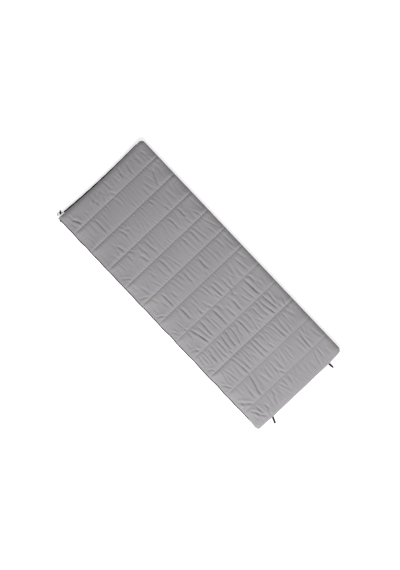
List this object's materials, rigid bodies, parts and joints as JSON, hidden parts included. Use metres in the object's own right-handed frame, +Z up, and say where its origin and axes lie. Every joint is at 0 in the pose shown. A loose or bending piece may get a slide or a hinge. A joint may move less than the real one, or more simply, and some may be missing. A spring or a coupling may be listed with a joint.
{
  "type": "camp quilt",
  "caption": "Rectangular padded camp quilt lying closed: two quilted halves sewn down one side and zipped round the rest, with a drawcord hem and hanging loops.",
  "frame": {"origin": "on the floor, under the middle of the quilt's box without the drawcord's free end", "axes": "+X from the zip side to the sewn side, +Y from the foot to the mouth, +Z up"},
  "size_m": [0.7572, 1.9765, 0.045],
  "materials": {
    "shell_cloth": "satin",
    "lining_cloth": "matte",
    "batting": "matte",
    "shell_thread": "matte",
    "black_thread": "matte",
    "black_tape": "matte",
    "loop_tape": "matte",
    "black_cord": "matte",
    "zip_coil": "satin",
    "zip_metal": "satin",
    "lock_plastic": "satin",
    "spring_steel": "polished"
  },
  "bodies": {
    "lower_half": {"lower_outer_shell": "shell_cloth", "lower_batting": "batting", "lower_lining": "lining_cloth", "lower_quilting_stitch_01": "shell_thread", "lower_quilting_stitch_02": "shell_thread", "lower_quilting_stitch_03": "shell_thread", "lower_quilting_stitch_04": "shell_thread", "lower_quilting_stitch_05": "shell_thread", "lower_quilting_stitch_06": "shell_thread", "lower_quilting_stitch_07": "shell_thread", "lower_quilting_stitch_08": "shell_thread", "lower_quilting_stitch_09": "shell_thread", "lower_quilting_stitch_10": "shell_thread", "lower_quilting_stitch_11": "shell_thread", "side_seam_thread": "shell_thread", "zip_tape_lower": "black_tape", "zip_coil_lower": "zip_coil", "zip_top_stop_lower": "zip_metal", "zip_bottom_stop": "zip_metal", "mouth_hem": "black_tape", "drawcord_in_hem": "black_cord", "drawcord_tail": "black_cord", "drawcord_knot": "black_cord", "hanging_loop_bartack_left": "black_thread", "hanging_loop_bartack_right": "black_thread"},
    "upper_half": {"upper_outer_shell": "shell_cloth", "upper_batting": "batting", "upper_lining": "lining_cloth", "upper_quilting_stitch_01": "shell_thread", "upper_quilting_stitch_02": "shell_thread", "upper_quilting_stitch_03": "shell_thread", "upper_quilting_stitch_04": "shell_thread", "upper_quilting_stitch_05": "shell_thread", "upper_quilting_stitch_06": "shell_thread", "upper_quilting_stitch_07": "shell_thread", "upper_quilting_stitch_08": "shell_thread", "upper_quilting_stitch_09": "shell_thread", "upper_quilting_stitch_10": "shell_thread", "upper_quilting_stitch_11": "shell_thread", "zip_tape_upper": "black_tape", "zip_coil_upper": "zip_coil", "zip_top_stop_upper": "zip_metal"},
    "zip_slider": {"zip_slider_body": "zip_metal"},
    "zip_puller": {"zip_puller": "zip_metal"},
    "cord_lock": {"cord_lock_barrel": "lock_plastic", "cord_lock_spring": "spring_steel"},
    "cord_lock_plunger": {"cord_lock_plunger": "lock_plastic"},
    "hanging_loop_left": {"hanging_loop_left": "loop_tape"},
    "hanging_loop_right": {"hanging_loop_right": "loop_tape"}
  },
  "joints": [
    {"name": "upper_open", "type": "hinge", "parent": "lower_half", "child": "upper_half", "pos_m": [0.3782, 0.01777, 0.0225], "axis": [0, 1, 0], "range_deg": [0, 180]},
    {"name": "slider_run", "type": "slide", "parent": "lower_half", "child": "zip_slider", "axis": [0, -1, 0], "range_m": [0, 1.8]},
    {"name": "puller_swing", "type": "hinge", "parent": "zip_slider", "child": "zip_puller", "pos_m": [-0.3763, 0.94377, 0.0225], "axis": [0, 0, -1], "range_deg": [0, 170]},
    {"name": "cord_lock_slide", "type": "slide", "parent": "lower_half", "child": "cord_lock", "axis": [-0.7882, 0.6154, 0], "range_m": [-0.004, 0.005]},
    {"name": "cord_lock_press", "type": "slide", "parent": "cord_lock", "child": "cord_lock_plunger", "axis": [-0.6154, -0.7882, 0], "range_m": [0, 0.0035], "stiffness_N_per_m": 400, "springref_m": -0.003},
    {"name": "loop_left_lift", "type": "hinge", "parent": "lower_half", "child": "hanging_loop_left", "pos_m": [-0.2473, -0.93928, 0.01105], "axis": [-0.9336, 0.3584, 0], "range_deg": [0, 100]},
    {"name": "loop_right_lift", "type": "hinge", "parent": "lower_half", "child": "hanging_loop_right", "pos_m": [0.2577, -0.93769, 0.01105], "axis": [-0.9962, -0.0872, 0], "range_deg": [0, 100]}
  ],
  "couplings": [
    {"joint": "slider_run", "follows": "upper_open", "m_per_rad": 0.572}
  ]
}
